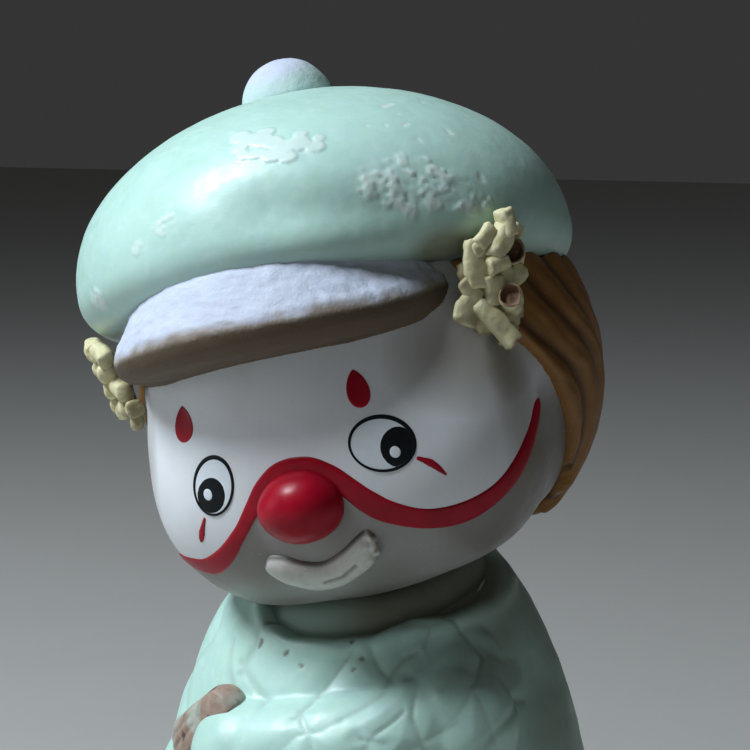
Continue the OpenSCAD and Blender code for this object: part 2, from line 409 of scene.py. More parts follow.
# Caramel paint: its dark layer is painted shade in the hollows of the hair's waves and in the shoes' grooves.
caramel = material(
    "caramel_paint", (0.26, 0.118, 0.030), roughness=0.5,
    layers=[(3.0, 0.4, 0.7, (0.34, 0.175, 0.055), 0.6),
            ("valley", 0.0, 1.0, (0.070, 0.030, 0.011), 0.85),
            (0.6, 0.6, 0.75, (0.52, 0.31, 0.13), 0.35)],
    bumps=[(0.4, 0.25, 0.08), (1.8, 0.25, 0.15)],
    Specular_IOR_Level=0.3, Coat_Weight=0.06, Coat_Roughness=0.3)
# Straw clay: its dark layer is painted shade where the clay meets the head, with random darker patches; the
# brown
# layer is the bare clay of broken ends.
straw = material(
    "straw_clay", (0.66, 0.60, 0.34), roughness=0.66,
    layers=[(0.8, 0.4, 0.7, (0.78, 0.74, 0.52), 0.7),
            ("deep", 0.0, 1.0, (0.20, 0.15, 0.07), 0.8),
            ("end", 0.2, 0.9, (0.13, 0.055, 0.024), 0.95),
            (0.3, 0.60, 0.72, (0.50, 0.42, 0.22), 0.5)],
    bumps=[(0.2, 0.5, 0.08), (0.7, 0.4, 0.12)])
red = material(
    "red_enamel", (0.38, 0.003, 0.018), roughness=0.36, rough_noise=(0.8, 0.08),
    layers=[(2.5, 0.4, 0.75, (0.24, 0.002, 0.012), 0.7),
            (0.9, 0.60, 0.8, (0.42, 0.012, 0.035), 0.4)],
    bumps=[(0.6, 0.12, 0.04), (1.6, 0.2, 0.10)],
    Specular_IOR_Level=0.18, Coat_Weight=0.05, Coat_Roughness=0.2)
black = material(
    "black_enamel", (0.005, 0.007, 0.009), roughness=0.4,
    layers=[(0.5, 0.5, 0.8, (0.02, 0.024, 0.028), 0.4)],
    bumps=[(0.4, 0.15, 0.04)], Specular_IOR_Level=0.15)
eye_white = material(
    "eye_white", (0.78, 0.83, 0.88), roughness=0.35,
    layers=[(1.0, 0.4, 0.7, (0.70, 0.75, 0.80), 0.5)],
    bumps=[(0.4, 0.1, 0.04)])
# Lip paint: its darkest layer is painted shade along the upper edge and in the crease.
lip_white = material(
    "lip_white", (0.62, 0.61, 0.57), roughness=0.45,
    layers=[(0.8, 0.45, 0.7, (0.52, 0.50, 0.45), 0.6),
            (0.25, 0.62, 0.7, (0.40, 0.36, 0.30), 0.5),
            ("crackle", 0.0, 1.0, (0.20, 0.155, 0.085), 0.85),
            ("crease", 0.0, 1.0, (0.09, 0.08, 0.07), 0.9)],
    bumps=[(0.3, 0.4, 0.08)], **SKIN)
tan = material(
    "tan_clay", (0.44, 0.33, 0.25), roughness=0.7,
    layers=[(1.4, 0.4, 0.7, (0.56, 0.46, 0.38), 0.7),
            (0.5, 0.62, 0.72, (0.17, 0.11, 0.08), 0.6)],
    bumps=[(0.3, 0.5, 0.1)])
worn_clay = material(
    "worn_clay", (0.32, 0.22, 0.165), roughness=0.6,
    layers=[(1.0, 0.4, 0.7, (0.45, 0.34, 0.28), 0.7),
            ("pit", 0.0, 1.0, (0.07, 0.045, 0.035), 0.9),
            ("painted", 0.0, 1.0, (0.50, 0.62, 0.54), 0.7)],
    bumps=[(0.3, 0.5, 0.08), (1.2, 0.4, 0.12)])
rubber = material(
    "black_rubber", (0.025, 0.025, 0.026), roughness=0.6,
    layers=[(0.6, 0.4, 0.7, (0.05, 0.05, 0.05), 0.6)],
    bumps=[(0.2, 0.3, 0.03)])
clear = material(
    "clear_plastic", (0.74, 0.79, 0.82), roughness=0.22,
    layers=[(1.5, 0.4, 0.7, (0.66, 0.73, 0.77), 0.6)],
    bumps=[(0.8, 0.1, 0.03)], Transmission_Weight=0.35, IOR=1.45)
silicone = material(
    "silicone", (0.78, 0.80, 0.81), roughness=0.38,
    layers=[(1.0, 0.4, 0.7, (0.70, 0.73, 0.75), 0.5)],
    bumps=[(0.5, 0.1, 0.03)], Transmission_Weight=0.3)
blue = material(
    "blue_plastic", (0.09, 0.24, 0.48), roughness=0.42,
    layers=[(0.8, 0.4, 0.7, (0.07, 0.19, 0.40), 0.6)],
    bumps=[(0.3, 0.15, 0.03)])
stone = material(
    "air_stone", (0.33, 0.38, 0.44), roughness=0.85,
    layers=[(0.5, 0.4, 0.6, (0.20, 0.24, 0.29), 0.8),
            (0.25, 0.6, 0.7, (0.55, 0.59, 0.63), 0.6)],
    bumps=[(0.25, 0.8, 0.15)])

# ---------- head ----------

MUZZLE_Y, MUZZLE_Z = -8.6, -6.4     # axis of the muzzle, in the face's frame
CHEEK_POWER = 2.3                   # fullness of the cheeks
BLEND = 1.1                         # width over which the cheeks run into the skull
SKULL_SCALE, CHEEK_SCALE = 21.5, 15  # turn the two forms' ratios into distances, about


def head_field(p):
    """Distance from the head's surface, about, negative inside."""
    x, y, z = p[..., 0], p[..., 1], p[..., 2]
    skull = np.sqrt((x * x + y * y) / HEAD_SIDE**2 + (z / np.where(z > 0, HEAD_TOP, HEAD_LOW)) ** 2)
    skull = (skull - 1) * SKULL_SCALE
    q = p @ rz(FACE_TURN)
    muzzle = np.sqrt((q[..., 1] - MUZZLE_Y) ** 2 + (q[..., 2] - MUZZLE_Z) ** 2) / MUZZLE_R
    cheeks = (muzzle**CHEEK_POWER + (np.abs(q[..., 0]) / CHEEK_SIDE) ** CHEEK_POWER) ** (1 / CHEEK_POWER)
    cheeks = (cheeks - 1) * CHEEK_SCALE
    return -BLEND * np.log(np.exp(-skull / BLEND) + np.exp(-cheeks / BLEND))


def on_head(grid, lift):
    """Points on the head at a grid of azimuths and latitudes, raised by lift."""
    d = direction(grid[..., 0], grid[..., 1])
    return from_head(d * (reach(head_field, d) + lift)[..., None])


def curve(points, count, closed=False):
    """Smooth curve through a few points."""
    p = np.array(points, float)
    n = len(p)
    t = np.linspace(0, n if closed else n - 1, count, endpoint=not closed)
    i = np.floor(t).astype(int)
    if not closed:
        i = np.minimum(i, n - 2)
    f = (t - i)[:, None]
    at = (lambda k: p[k % n]) if closed else (lambda k: p[np.clip(k, 0, n - 1)])
    a, b, c, d = at(i - 1), at(i), at(i + 1), at(i + 2)
    bend = f**2 * (a - 2.5 * b + 2 * c - d / 2) + f**3 * (-a / 2 + 1.5 * b - 1.5 * c + d / 2)
    return b + f * (c - a) / 2 + bend


# The painted line across the face: azimuth, latitude and half width, in degrees.
LINE = [(-44, -26, 1.0), (-36, -28, 2.0), (-28.5, -29, 2.3), (-20, -27, 2.0), (-12, -22.8, 1.7),
        (-6, -18.3, 1.9), (-1, -14.3, 2.2), (4.5, -11.7, 2.5), (11, -11.8, 2.6), (16.5, -14.5, 2.4),
        (20, -18, 2.6), (23.5, -22, 2.8), (28, -25.5, 2.7), (36, -28.8, 2.4), (45, -29.5, 2.4),
        (54, -27.5, 2.2), (62, -23.3, 2.3), (69, -17.5, 2.0), (72.5, -13, 1.7), (73.5, -11.3, 0.4)]


def head():
    """The shell of the head, painted in shade below its line and at the left temple and jaw, and stained with
    glue beside the curls.
    """
    d, faces = ball(7)
    az, lat = angles(d)
    p = d * HEAD_NOMINAL
    line = curve([(a, b) for a, b, _ in LINE], 300)
    # Below the face's line the paint is greyer, and it is darkened further as painted shade, most of all
    # towards the hair on the figure's left.
    edge = np.interp(az, line[:, 0], line[:, 1], left=-24, right=-10)
    softness = 0.8 + 6 * step(70, 78, az)
    lower = step(1, -1, (lat - edge) / softness) * step(152, 132, az) * step(-84, -62, az)
    # Glue stains beside the curls at both temples, with the visor's shadow painted in on the left temple, and
    # painted shade on the jaw by the hair.
    temple = 0.75 * spot(az, lat, (58, 5), (9, 6), HEAD_NOMINAL) ** 0.8
    jaw = 0.55 * spot(az, lat, (66, -14), (3, 9), HEAD_NOMINAL)
    other_temple = 0.5 * spot(az, lat, (-44, -2), (3, 6), HEAD_NOMINAL)
    chin_lift = 0.95 * step(-44, -58, lat) * step(115, 85, np.abs(az - 20))
    radius = reach(head_field, d) + 0.05 * noise(p, 6, 3) + 0.025 * noise(p, 2, 4) - chin_lift
    mesh = to_mesh(from_head(d * radius[:, None]), faces)
    paint(mesh, lower=lower * (0.85 + 0.15 * step(-0.4, 0.4, noise(p, 5, 6))),
          stain=clamp(temple + jaw + other_temple))
    place("head_shell", mesh, white, ["head"])


def skin_patch(name, grid, height, mat, wrap=False, filled=False, nodes=()):
    """Closed thin layer on the head. Its grid of azimuths and latitudes runs along it and then across it. It
    may wrap round to its start, and it may be filled, with all its rows starting at one middle point."""
    lift, depth = 0.015, 0.12
    top, low = on_head(grid, height + lift), on_head(grid, -depth)
    along, across = grid.shape[:2]
    index = np.arange(along * across).reshape(along, across)
    under = index + along * across
    faces = []
    for i in range(along if wrap else along - 1):
        k = (i + 1) % along
        for j in range(across - 1):
            faces.append((index[i, j], index[i, j + 1], index[k, j + 1], index[k, j]))
            faces.append((under[i, j], under[k, j], under[k, j + 1], under[i, j + 1]))
        faces.append((index[i, -1], under[i, -1], under[k, -1], index[k, -1]))
        if not filled:
            faces.append((index[i, 0], index[k, 0], under[k, 0], under[i, 0]))
    if not wrap:
        for i in (0, along - 1):
            for j in range(across - 1):
                faces.append((index[i, j], under[i, j], under[i, j + 1], index[i, j + 1]))
    mesh = to_mesh(np.concatenate([top.reshape(-1, 3), low.reshape(-1, 3)]), faces)
    bm = bmesh.new()
    bm.from_mesh(mesh)
    bmesh.ops.remove_doubles(bm, verts=bm.verts, dist=1e-7)
    bmesh.ops.recalc_face_normals(bm, faces=bm.faces)
    bm.to_mesh(mesh)
    bm.free()
    place(name, mesh, mat, nodes)
    return mesh


def stroke(name, path, mat, thick, count, across):
    """Brush stroke: its path holds azimuth, latitude and half width."""
    p = curve(path, count)
    d = np.gradient(p[:, :2], axis=0)
    narrowing = np.cos(np.radians(p[:, 1]))
    d[:, 0] *= narrowing
    d /= np.linalg.norm(d, axis=1)[:, None]
    side = np.stack([-d[:, 1] / narrowing, d[:, 0]], 1)
    u = np.linspace(-1, 1, across)
    wobble = 1 + 0.05 * np.sin(np.linspace(0, 19, count)) + 0.03 * np.sin(np.linspace(1, 44, count))
    width = np.maximum(p[:, 2], 0.12) * wobble
    grid = p[:, None, :2] + side[:, None] * (u[None, :, None] * width[:, None, None])
    skin_patch(name, grid, np.broadcast_to(thick * (1 - u**4), (count, across)), mat)


def dab(name, outline, mat, thick=0.06, lift=0.0):
    """Filled mark inside a closed outline of azimuth and latitude."""
    count = 72
    rim = curve(outline, count, closed=True)
    middle = rim.mean(0)
    t = np.array([0, 0.2, 0.4, 0.6, 0.8, 0.93, 1.0])
    grid = middle + (rim - middle)[:, None] * t[None, :, None]
    height = np.broadcast_to(lift + thick * (1 - t**8), (count, len(t)))
    skin_patch(name, grid, height, mat, wrap=True, filled=True)


def ring(name, outline, width, mat):
    """Painted outline of uneven width round a mark."""
    count, across, thick, lift = 96, 7, 0.05, 0.03
    rim = curve(outline, count, closed=True)
    d = rim - rim.mean(0)
    d /= np.linalg.norm(d, axis=1)[:, None]
    u = np.linspace(-1, 1, across)
    w = width * (1 + 0.3 * np.sin(np.arange(count) * 2 * np.pi / count + 0.8))
    grid = rim[:, None] + d[:, None] * (u[None, :, None] * w[:, None, None])
    height = np.broadcast_to(thick * (1 - u**4) + lift, (count, across))
    skin_patch(name, grid, height, mat, wrap=True)


def oval(at, size, lean=0.0, count=16):
    """Outline of an oval with these half sizes, leaning anticlockwise."""
    t = np.linspace(0, 2 * np.pi, count, endpoint=False)
    c, s = math.cos(math.radians(lean)), math.sin(math.radians(lean))
    x, y = size[0] * np.cos(t), size[1] * np.sin(t)
    return list(zip(at[0] + x * c - y * s, at[1] + x * s + y * c))


def drop(at, width, height, count=24):
    """Outline of a teardrop, narrow at the top."""
    t = np.linspace(0, 2 * np.pi, count, endpoint=False)
    return list(zip(at[0] + width * np.sin(t) * np.sin(t / 2) ** 0.5, at[1] + height * np.cos(t)))


# For each eye, its outline and pupil as centre, half sizes and lean, and its glint as centre and half sizes.
EYES = {
    "right": (((-15, -11), (6.9, 5.7), 46), ((-16.1, -12.8), (4.9, 4.1), 19), ((-17, -12.6), (1.35, 1.3))),
    "left": (((30.2, -10.3), (7.3, 5.9), -12), ((33.3, -11.6), (4.6, 4.0), 63), ((32.7, -12.7), (1.2, 1.25)))}
TEARDROPS = {"right": ((-22.4, 4.3), 4.4, 4.5), "left": ((28.1, 3.0), 3.2, 4.6)}
DASHES = {"right": [(-20.5, -17.5, 0.3), (-24, -21, 0.8), (-25.5, -22.5, 0.35)],
          "left": [(37, -15, 0.35), (40, -17, 0.8), (42.5, -20, 0.25)]}


def face_marks():
    stroke("face_line", LINE, red, thick=0.10, count=260, across=11)
    for side, (outline, pupil, glint) in EYES.items():
        dab(f"eye_{side}", oval(*outline), eye_white, thick=0.04)
        ring(f"eye_outline_{side}", oval(*outline), 0.40, black)
        dab(f"pupil_{side}", oval(*pupil), black, thick=0.07)
        dab(f"glint_{side}", oval(*glint), eye_white, thick=0.05, lift=0.07)
    for side, teardrop in TEARDROPS.items():
        dab(f"teardrop_{side}", drop(*teardrop), red)
    for side, path in DASHES.items():
        stroke(f"dash_{side}", path, red, thick=0.05, count=40, across=7)


def nose():
    """A glossy bead pressed on the face, a little broader than it is high."""
    d, faces = ball(6)
    bead = d * np.array([4.25, 3.7, 3.55]) * (1 + 0.03 * noise(d * 4, 2.6, 5))[:, None]
    at = np.array([0.6, -22.3, -8.2])
    mesh = to_mesh(from_head((bead + at) @ rz(FACE_TURN).T), faces)
    place("nose_bead", mesh, red, ["nose"])


# Upper and lower edges of the lips and the crease in them: azimuth and latitude.
LIP_TOP = [(-9, -31), (-7, -29.6), (-3, -30.7), (1, -33.2), (6.5, -34.4), (12.5, -32.6), (19, -29),
           (21.5, -28.5), (23, -31), (23, -34)]
LIP_FOOT = [(-9, -31), (-10, -34), (-7, -38.6), (-1, -42.6), (6, -43.4), (12.5, -41.5), (18.5, -38.5),
            (21, -36.5), (22.5, -35.2), (23, -34)]
LIP_CREASE = [(15.5, -35.6), (10.5, -38), (4.5, -38.8)]


def lips():
    """One full crescent pressed on the chin, with a crease in it. Its upper edge and the crease are darkened
    as painted shade.
    """
    along, across, thick = 150, 41, 1.05
    top, foot = curve(LIP_TOP, along), curve(LIP_FOOT, along)
    u = np.linspace(0, 1, across)[None, :]
    grid = top[:, None] + (foot - top)[:, None] * u[..., None]
    full = np.minimum(1, 1.6 * np.sin(np.pi * np.linspace(0, 1, along)))[:, None] ** 0.6
    height = thick * full * (1 - np.abs(2 * u - 1) ** 2.3) ** 0.75
    flat = np.concatenate([grid, np.zeros((along, across, 1))], -1)
    height = height * (1 + 0.10 * noise(flat, 5, 2))
    height = height - 0.16 * ridge(near(grid[..., 0], grid[..., 1], LIP_CREASE), 0.5)
    mesh = skin_patch("lips_skin", grid, height, lip_white, nodes=["lips"])
    v = coords(mesh)
    az, lat = angles(to_head(v))
    upper_edge = near(az, lat, [tuple(q) for q in top[4:125:4]])
    # The upper edge, where the lips meet the face, and the crease are darkened as painted shade. The crackle
    # is real paint.
    paint(mesh, crease=clamp(step(0.9, 0.2, upper_edge) + 0.7 * ridge(near(az, lat, LIP_CREASE), 0.45)),
          crackle=step(17.5, 22.5, az) * step(-0.25, 0.35, noise(v, 0.5, 9)))


# ---------- hair ----------

STRAND, FINE_STRAND = 5.2, 1.7      # width of the broad waves and of the fine ones in them


def hair():
    mesh = remeshed(["hair"], voxel=0.3, rounds=6, swell=0.1)
    v = coords(mesh)
    q = to_head(v)
    around = np.radians(np.abs(azimuth(q))) * HEAD_NOMINAL
    flow = around + 0.55 * q[:, 2] + 1.3 * np.sin(q[:, 2] / 3.6) + 0.8 * noise(v, 9, 11)
    wave = np.abs(np.sin(np.pi * flow / STRAND))
    fine = np.abs(np.sin(np.pi * flow / FINE_STRAND + 1.2 * noise(v, 4, 12)))
    outer = step(-0.6, 0.3, np.linalg.norm(q, axis=1) - HEAD_NOMINAL)
    shift(mesh, v, outer * (0.75 * (wave - 0.75) + 0.12 * (fine - 0.5)))
    # The hollows between the waves are darkened as painted shade.
    paint(mesh, valley=0.9 * step(0.55, 0.08, wave) + 0.25 * step(0.3, 0.0, fine))
    place("hair_skin", mesh, caramel, ["hair"])


# ---------- cap ----------

CROWN_SCALE = 20        # turns the crown's ratio into a distance, about

# Places on the crown as azimuth and latitude: the long fold, the blisters with their sizes, and the flaking
# paint with how far it spreads along and across.
FOLD = [(8, 6.5), (17, 4.4), (28, 2.6), (36, 1.0), (47, -0.8), (60, -4.0)]
BLISTERS = [((15, 22), 1.0), ((17.5, 24), 1.2), ((20.5, 23), 1.3), ((23.5, 21.5), 1.2), ((26.5, 19.5), 1.3),
            ((30, 19.8), 1.4), ((33, 18), 1.1), ((16, 19.5), 0.9), ((19.5, 19), 1.1), ((23, 17.5), 1.1),
            ((27, 16.2), 0.9), ((14, 26), 1.3), ((30.5, 22.8), 0.8), ((34.5, 20.5), 0.7), ((21.5, 26), 0.9)]
FLAKES = [((47, 8), (3.6, 2.4)), ((54, 6), (4, 3.4)), ((61, 4), (3.6, 2.6)), ((67, 1), (2.4, 1.4)),
          ((-3, 6), (1.6, 1.1)), ((-12, 3), (0.9, 0.7)), ((-33, -4), (1.8, 1.3)), ((60, -7), (1.5, 0.5))]


def crown_field(p):
    """Distance from the crown's surface, about, negative inside."""
    z = p[..., 2]
    rho = np.hypot(p[..., 0], p[..., 1])
    dome = (np.sqrt((rho / CROWN_R) ** 2 + (z / CROWN_H) ** 2) - 1) * CROWN_SCALE
    turned_under = (np.hypot((rho - CROWN_MOUTH_R) / CROWN_LIP, z / CROWN_LIP) - 1) * CROWN_LIP
    under = np.where(rho > CROWN_MOUTH_R, turned_under, -z - CROWN_LIP)
    return np.where(z >= 0, dome, under)


def crown():
    """The puffed crown with its fold, blistered and flaking paint, and chips."""
    d, faces = ball(8)
    az, lat = angles(d)
    radius = reach(crown_field, d)
    surface = d * radius[:, None]

    # one radian along the fold and one across it, in millimetres
    along, across = 24, 22
    fold_path = [(math.radians(m) * along, math.radians(n) * across) for m, n in FOLD]
    fold = ridge(near(np.radians(az) * along, np.radians(lat) * across, fold_path), 2.6)
    lift = 0.22 * noise(surface, 11, 21) + 0.03 * noise(surface, 2.2, 22) + 0.012 * noise(surface, 0.8, 23)
    lift -= 0.85 * fold * step(2, 22, az) * step(66, 44, az)

    raised, ragged = np.zeros(len(d)), noise(surface, 1.1, 37) - 0.3
    for at, size in BLISTERS:
        k = spot(az, lat, at, (1.15 * size, 0.9 * size), CROWN_R)
        k = step(0.05, 0.30, k + 0.40 * ragged * np.minimum(1, 5 * k))
        raised = np.maximum(raised, (0.06 + 0.07 * size) * k)

    flaky = step(0.0, 0.5, np.maximum.reduce([spot(az, lat, at, size, CROWN_R) for at, size in FLAKES]))
    torn = step(0.0, 0.07, rough(surface, 0.9, 2, 31) + 0.45 * (flaky - 1)) * (flaky > 0)
    torn = torn * (0.6 + 0.4 * noise(surface, 0.5, 35))
    chips = step(0.78, 0.84, noise(surface, 1.3, 33)) * step(0.35, 0.5, noise(surface, 9, 34))

    radius += lift + raised + 0.12 * torn + 0.04 * flaky * noise(surface, 0.5, 36) - 0.05 * chips
    mesh = to_mesh(from_crown(d * radius[:, None]), faces)
    # The crown is stained with glue by the curls, and it is darkened as painted shade where it turns under.
    by_curls = 0.85 * step(12, 2, np.hypot(az - 61, 1.8 * (lat + 8)))
    paint(mesh, worn=clamp(0.9 * torn + 0.2 * flaky + 0.75 * step(0.0, 0.10, raised) + chips),
          stain=clamp(by_curls + 0.5 * step(-2, -12, lat)), bare=0.0)
    place("crown_skin", mesh, mint, ["cap_crown"])


def visor():
    """The visor, with a rough top and a rim and underside painted in shade, arched upwards in the middle."""
    mesh = remeshed(["cap_visor"], voxel=0.2, rounds=24, swell=0.22)
    v = coords(mesh)
    q = to_head(v)
    up = (normals(mesh) @ HEAD_TILT)[:, 2]
    # Faces that do not look up are painted in shade, the rim and the underside alike.
    top = step(-0.12, 0.60, up + 0.14 * noise(v, 1.4, 41) + 0.10 * noise(v, 4, 45))
    hidden = clamp(step(0.9, -0.2, head_field(q)) + step(0.9, -0.2, crown_field(to_crown(v))))
    grain = rough(v * np.array([0.5, 1, 1]), 0.9, 3, 42)
    upper, rim = 0.10 * grain + 0.08 * noise(v, 3.0, 43), 0.05 * noise(v, 2.0, 44)
    arch = clamp(1 - ((q[:, 0] + 1.0) / 16.5) ** 2) * step(-8, -20, q[:, 1])
    shift(mesh, v, top * upper + (1 - top) * rim + 0.45 * hidden, (1.35 * arch)[:, None] * HEAD_TILT[:, 2])
    paint(mesh, stain=1 - top, mint=0.0)
    place("visor_skin", mesh, lilac, ["cap_visor"])


def pompom():
    mesh = remeshed(["cap_pompom"], voxel=0.2, rounds=4, swell=0.08)
    v = coords(mesh)
    q = to_crown(v)
    v = shift(mesh, v, 0.10 * noise(v, 2.4, 51) + 0.03 * noise(v, 0.6, 52))
    mint_foot = 0.85 * step(19.8, 17.8, q[:, 2])
    mint_side = 0.9 * step(0.4, 2.8, q[:, 0] + 0.4 * noise(v, 1.6, 53))
    paint(mesh, mint=clamp(mint_foot + mint_side), stain=0.0)
    place("pompom_skin", mesh, lilac, ["cap_pompom"])


# ---------- curls of squeezed clay ----------

# How a length of clay ends.
WHOLE, BROKEN, HOLLOW = 0, 1, 2

# Azimuth, height, reach, turn, tilt, length, radius, flatness and end of each length of clay.
BITS_LEFT = [
    (70.6, 12.3, 25.5, -8, 0, 2.7, 0.9, 1, WHOLE),
    (68.3, 10.9, 25.1, 38, 8, 4.0, 1.05, 0.9, WHOLE),
    (65.0, 11.7, 24.9, 62, 0, 2.7, 0.8, 0.7, WHOLE),
    (63.4, 10.9, 24.8, 80, 0, 2.3, 0.75, 0.6, WHOLE),
    (62.3, 9.3, 24.4, 14, 0, 4.6, 1.3, 0.42, WHOLE),
    (66.0, 8.8, 24.9, 82, 0, 2.5, 0.9, 1, WHOLE),
    (73.0, 9.5, 24.3, -90, 50, 2.6, 1.3, 0.85, HOLLOW),
    (71.0, 7.4, 24.2, 65, 10, 3.0, 0.9, 0.8, WHOLE),
    (64.2, 6.6, 24.5, 8, 10, 3.0, 1.15, 0.55, WHOLE),
    (68.0, 5.2, 24.6, -50, 50, 3.6, 1.2, 0.9, BROKEN),
    (62.8, 3.7, 24.2, 154, 10, 5.3, 1.0, 0.9, BROKEN),
    (57.6, 5.4, 23.9, 38, 0, 2.9, 1.2, 0.4, WHOLE),
    (59.6, 7.2, 24.0, -30, 0, 2.7, 1.0, 0.45, WHOLE),
    (66.6, 2.2, 23.7, 30, 0, 2.4, 0.75, 0.8, WHOLE),
    (74.6, 11.2, 24.5, 45, 10, 2.0, 0.7, 0.7, BROKEN),
    (68.6, 8.0, 24.3, 10, 0, 2.6, 0.9, 0.7, WHOLE),
    (60.6, 4.2, 23.8, 75, 0, 2.0, 0.8, 0.5, WHOLE)]
BITS_RIGHT = [
    (57, 10.6, 25.4, 85, 0, 3.2, 0.9, 1, WHOLE),
    (52, 9.8, 24.8, 70, 10, 3.2, 0.9, 1, WHOLE),
    (61, 8.6, 25.2, 95, 15, 3.2, 0.9, 0.95, WHOLE),
    (54, 8.0, 24.8, 80, 0, 3.4, 1.0, 0.95, WHOLE),
    (64, 7, 24.6, 60, 20, 2.6, 0.85, 0.9, WHOLE),
    (56, 6.3, 24.6, 100, 0, 3.2, 0.9, 1, WHOLE),
    (50.4, 6.3, 23.9, 75, 10, 3.0, 0.95, 1, WHOLE),
    (60, 4.8, 24.4, 85, 0, 3.2, 0.95, 0.9, WHOLE),
    (54, 4, 23.8, 95, 10, 3.2, 1.0, 1, WHOLE),
    (49.6, 3.9, 23.2, 80, 0, 2.6, 0.95, 0.9, WHOLE),
    (51.6, 2.7, 23.2, 90, 0, 3.0, 0.75, 0.9, BROKEN)]

# The pad of clay that the lengths are pressed on, in the same form.
BED_LEFT = (66, 6.6, 23.2, 0, 0, 7.6, 3.1, 0.3, WHOLE)
BED_RIGHT = (56, 6.6, 23.4, 0, 0, 6.4, 2.6, 0.3, WHOLE)

AROUND = 32             # vertices round a length of clay


def squared(a, power):
    """Outline of a squared circle at these angles."""
    c, s = np.cos(a), np.sin(a)
    return np.sign(c) * np.abs(c) ** (2 / power), np.sign(s) * np.abs(s) ** (2 / power)


def profile(end):
    """Rings of a length of clay: place along it, width and brownness. A broken end is brown and dished."""
    t = np.array([0, 0.01, 0.03, 0.08, *np.linspace(0.14, 0.86, 15), 0.92, 0.97, 0.99, 1, 1, 1, 1, 1, 1])
    w = np.array([0.02, 0.5, 0.82, 0.97, *np.ones(15), 0.97, 0.86, 0.7, 0.5, 0.4, 0.3, 0.2, 0.1, 0.02])
    brown = np.zeros(len(t))
    if end != WHOLE:
        depth = 0.16 if end == BROKEN else 0.42
        t[-9:] = [0.93, 0.985, 1.0, 0.99, 1 - depth * 0.4, 1 - depth * 0.8, 1 - depth, 1 - depth, 1 - depth]
        w[-9:] = [1.0, 0.99, 0.92, 0.80, 0.74, 0.70, 0.5, 0.2, 0.02]
        brown[-8:] = [0.4, 0.8, 1, 1, 1, 1, 1, 1]
    return t, w, brown


def curls(node, side, bits, bed):
    """A bunch of lengths of clay on a pad. Its side is 1 on the figure's left and -1 on its right."""
    verts, faces, ends = [], [], []
    x, y = squared(np.linspace(0, 2 * np.pi, AROUND, endpoint=False), 2.5)
    for k, (az, z, out, turn, tilt, length, r, flat, end) in enumerate(bits + [bed]):
        t, w, brown = profile(end)
        rings = len(t)
        along = np.broadcast_to(((t - 0.5) * length)[:, None], (rings, AROUND))
        p = np.stack([np.outer(w, x) * r, np.outer(w, y) * r * flat, along], -1).reshape(-1, 3)
        p[:, 0] += 0.22 * np.sin(p[:, 2] / length * 3 + k)
        p = p * (1 + 0.13 * noise(p + 31 * k, 0.9, 61) + 0.06 * noise(p + 7 * k, 0.35, 62))[:, None]
        p = p @ (ry(side * turn) @ rx(tilt)).T + np.array([0, -out, z])
        first = len(verts)
        verts += list(from_head(p @ rz(side * az).T))
        ends += list(np.repeat(brown, AROUND))
        faces += (first + tube_faces(rings, AROUND)).tolist()
        faces.append([first + j for j in range(AROUND)][::-1])
        faces.append([first + (rings - 1) * AROUND + j for j in range(AROUND)])
    verts = np.array(verts)
    q = to_head(verts)
    mesh = to_mesh(verts, faces)
    # Where the clay meets the head it is darkened as painted shade, and it is darker in random patches.
    sunk = step(24.6, 23.2, np.hypot(q[:, 0], q[:, 1]))
    paint(mesh, end=np.array(ends), deep=clamp(sunk + 0.5 * step(0.2, 0.8, noise(verts, 1.1, 63))))
    place(f"{node}_clay", mesh, straw, [node])


# ---------- body ----------

# Places on the body as azimuth and height: the rim of the hollow under the chin, the incised seams of the
# quilting, the folds, and the dents with their sizes.
RIM = [(-32, 50), (-23.5, 47.5), (-17, 46), (-12.5, 45), (-7, 44.5), (-1.5, 44), (6.5, 44), (14.5, 44),
       (29, 44.5), (38, 45.5), (44.5, 46), (59.5, 46), (69, 46.5), (80, 47), (95, 48), (110, 49), (130, 51)]
SEAMS = [
    [(8, 37.5), (13.5, 39.5), (18, 41.5), (21.5, 43)],
    [(20.5, 37.5), (27.5, 39), (32.5, 40), (34.5, 41), (39, 42.5), (43.5, 43)],
    [(27.5, 43.5), (31, 41.5), (34.5, 40.5)],
    [(29.5, 36.5), (33.5, 37.5), (36.5, 38.5)],
    [(40.5, 40), (39.5, 39.5), (38.5, 38), (39, 37.5)],
    [(45, 36.5), (47, 37), (49, 37.5)],
    [(49, 45), (46.5, 43.5)],
    [(55, 46), (58.5, 45.5), (61.5, 44), (63.5, 42.5)],
    [(63.5, 42.5), (59.5, 41.5), (54.5, 40.5)],
    [(9, 38), (12.5, 36.5)],
    [(26, 36), (32, 35.5)]]
FAINT_SEAMS = [
    [(36, 34.5), (45, 36.5), (54.5, 40.5)],
    [(20.5, 37.5), (16, 36.5), (10, 36)],
    [(39, 37.5), (41, 35), (46, 32.5)],
    [(29.5, 36.5), (26, 34), (20, 31.5)],
    [(10, 36), (4, 33.5), (-2, 31)],
    [(54.5, 40.5), (57, 36.5), (62, 32)],
    [(12.5, 36.5), (16, 33.5), (22, 30.5)]]
FOLDS = [
    [(38, 45.5), (45.5, 45.5), (52, 45.5)],
    [(53, 34.5), (56.5, 35.5), (61.5, 37), (70, 38), (78, 37.5)],
    [(-18.5, 41), (-12, 39.5), (-4, 38)],
    [(-27, 42.5), (-24, 40), (-19.5, 38.5)],
    [(-15.5, 45), (-15, 42.5), (-17.5, 40)]]
DENTS = [((-10.5, 45.5), 0.65), ((-12, 45), 0.5), ((-12.5, 43), 0.55), ((-1, 42.5), 0.4), ((21.5, 44), 0.4),
         ((5, 41.5), 0.35), ((25, 42.5), 0.3), ((22.5, 41.5), 0.3)]

